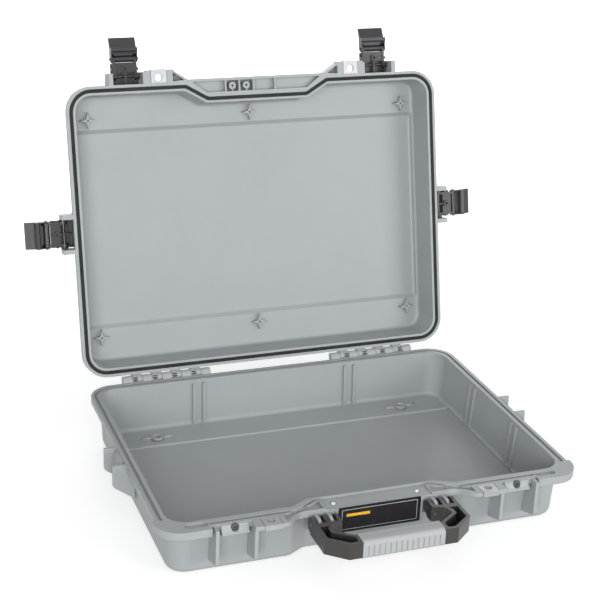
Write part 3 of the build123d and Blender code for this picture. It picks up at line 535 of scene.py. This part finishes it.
HINGE_CENTRE = 0.143
KNUCKLE_RADIUS = 0.0056
KNUCKLE_HALF = 0.0064
KNUCKLE_OFFSETS = (-0.039, -0.013, 0.013, 0.039)
SHADE_PATCH_HALF = 0.0029
SHADE_PATCH_INSET = 0.0006
SHADE_PATCH_PROUD = 0.00006
SHADE_PATCH_DEEP = 0.0003
SHADE_PATCH_BEVEL = 0.00004
SHADE_PATCH_POINTS = 6
SHADE_PATCH_ROWS = ((124, 143), (150, 174))  # first and last angle of each row

for side, hand in HANDS:
    for number, offset in enumerate(KNUCKLE_OFFSETS, 1):
        shade_patch_x = side * (HINGE_CENTRE + offset + KNUCKLE_HALF - SHADE_PATCH_HALF - SHADE_PATCH_INSET)
        place = Matrix.Translation(joint_points["lid_hinge"] + Vector((shade_patch_x, 0, 0)))
        for row, (first, last) in enumerate(SHADE_PATCH_ROWS, 1):
            outline = (
                arc(KNUCKLE_RADIUS + SHADE_PATCH_PROUD, first, last, SHADE_PATCH_POINTS)
                + arc(KNUCKLE_RADIUS - SHADE_PATCH_DEEP, last, first, SHADE_PATCH_POINTS)
            )
            name = f"knuckle_core_{hand}_{number}_{row}"
            shade_patch = bar(name, outline, SHADE_PATCH_HALF, place, SHADE_PATCH_BEVEL, knuckle_shade_material)
            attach(shade_patch, "lid")


# Floor bosses of the base: a raised ring round each, and a rounded crest along its rib at both sides of it

FLOOR_BOSS_X = 0.169
FLOOR_BOSS_Y = 0.1385
FLOOR_BOSS_TOP = 0.0074
RING_RADIUS = 0.0078
RING_PROFILE = (
    (RING_RADIUS, -0.0026), (RING_RADIUS, 0.0007), (0.0073, 0.0015), (0.0065, 0.0018), (0.0054, 0.0015),
    (0.0049, 0.0008), (0.0047, -0.0026),
)
CREST_REACH = 0.0207
CREST_RADIUS = 0.0021
CREST_RISE = 0.0014
CREST_OVERLAP = 0.001
CREST_BEVEL = 0.0004
CREST_FIRST, CREST_LAST = -10, 190
CREST_POINTS = 15

crest_outline = arc(CREST_RADIUS, CREST_FIRST, CREST_LAST, CREST_POINTS)
crest_half = (CREST_REACH - RING_RADIUS + CREST_OVERLAP) / 2
crest_shift = (CREST_REACH + RING_RADIUS - CREST_OVERLAP) / 2
crest_height = FLOOR_BOSS_TOP - CREST_RADIUS + CREST_RISE
for side, hand in HANDS:
    boss_ring = ring(f"floor_boss_ring_{hand}", RING_PROFILE, case_material)
    boss_ring.location = (side * FLOOR_BOSS_X, FLOOR_BOSS_Y, FLOOR_BOSS_TOP)
    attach(boss_ring, "base")
    for way, end in ((-1, "west"), (1, "east")):
        place = Matrix.Translation((side * FLOOR_BOSS_X + way * crest_shift, FLOOR_BOSS_Y, crest_height))
        crest = bar(f"floor_crest_{hand}_{end}", crest_outline, crest_half, place, CREST_BEVEL, case_material)
        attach(crest, "base")


# Floor and world

WHITE = (1.0, 1.0, 1.0)
BACKDROP_WHITE = 1.0
FLOOR_REACH = 12.0
FLOOR_GAP = 0.0002
FLOOR_COLOUR = (0.62, 0.62, 0.62)
FLOOR_ROUGHNESS = 0.9
FLOOR_GLOSS = 0.1
FLOOR_GLOW = 0.56
GLOW_READ = (0.42, 1.15)  # distances from the object between which the floor fades to the backdrop's white
WORLD_FILL = 0.34


def seen_rays(tree):
    """1 where a ray comes from the camera, a mirror or a clear surface, else 0."""
    path = tree.nodes.new("ShaderNodeLightPath")
    last = path.outputs["Is Camera Ray"]
    for ray in ("Is Glossy Ray", "Is Transmission Ray"):
        larger = tree.nodes.new("ShaderNodeMath")
        larger.operation = "MAXIMUM"
        tree.links.new(last, larger.inputs[0])
        tree.links.new(path.outputs[ray], larger.inputs[1])
        last = larger.outputs[0]
    return last


def white_floor():
    """Pale floor that keeps its shadows near the object and fades to the backdrop's white further out."""
    s = Shader("floor")
    spread = s.add("ShaderNodeVectorMath", operation="LENGTH")
    s.put(s.place, spread, 0)
    glow = s.remap(spread.outputs["Value"], GLOW_READ, (FLOOR_GLOW, BACKDROP_WHITE))
    s.give("Base Color", FLOOR_COLOUR)
    s.give("Roughness", FLOOR_ROUGHNESS)
    s.give("Specular IOR Level", FLOOR_GLOSS)
    s.give("Emission Color", WHITE)
    s.give("Emission Strength", s.compute("MULTIPLY", glow, seen_rays(s.tree)))
    return s.material


def even_light(tree, strength):
    """Even white light from all round."""
    background = tree.nodes.new("ShaderNodeBackground")
    background.inputs["Color"].default_value = (*WHITE, 1.0)
    background.inputs["Strength"].default_value = strength
    return background.outputs["Background"]


def white_world():
    """World that looks white and lights the object with an even fill."""
    made = bpy.data.worlds.new("world")
    made.use_nodes = True
    tree = made.node_tree
    tree.nodes.clear()
    mixer = tree.nodes.new("ShaderNodeMixShader")
    tree.links.new(seen_rays(tree), mixer.inputs[0])
    tree.links.new(even_light(tree, WORLD_FILL), mixer.inputs[1])
    tree.links.new(even_light(tree, BACKDROP_WHITE), mixer.inputs[2])
    tree.links.new(mixer.outputs[0], tree.nodes.new("ShaderNodeOutputWorld").inputs["Surface"])
    return made


floor_mesh = bpy.data.meshes.new("floor")
floor_corners = [(x * FLOOR_REACH, y * FLOOR_REACH, 0) for x, y in ((-1, -1), (1, -1), (1, 1), (-1, 1))]
floor_mesh.from_pydata(floor_corners, [], [(0, 1, 2, 3)])
floor_mesh.materials.append(white_floor())
floor = add_to_scene("floor", floor_mesh)
floor.location.z = cad_box[0].z - FLOOR_GAP
bpy.context.scene.world = white_world()


# Lamps: square softboxes, each with its place, what it aims at, its size and its watts

LAMPS = {
    "key": ((-1.2, -2.7, 1.1), (0, 0, 0.25), 1.6, 73),
    "fill_right": ((1.9, -2.1, 0.9), (0, 0, 0.25), 1.4, 30),
    "top": ((0.2, 0.2, 2.6), (0, 0, 0), 2.2, 6),
    "back": ((0.6, 2.8, 1.3), (0, 0, 0.25), 1.8, 30),
}

for name, (at, aim, size, watts) in LAMPS.items():
    lamp_data = bpy.data.lights.new(name, "AREA")
    lamp_data.shape = "SQUARE"
    lamp_data.size = size
    lamp_data.energy = watts
    lamp = add_to_scene(name, lamp_data)
    lamp.location = at
    lamp.rotation_euler = (Vector(aim) - Vector(at)).to_track_quat("-Z", "Y").to_euler()
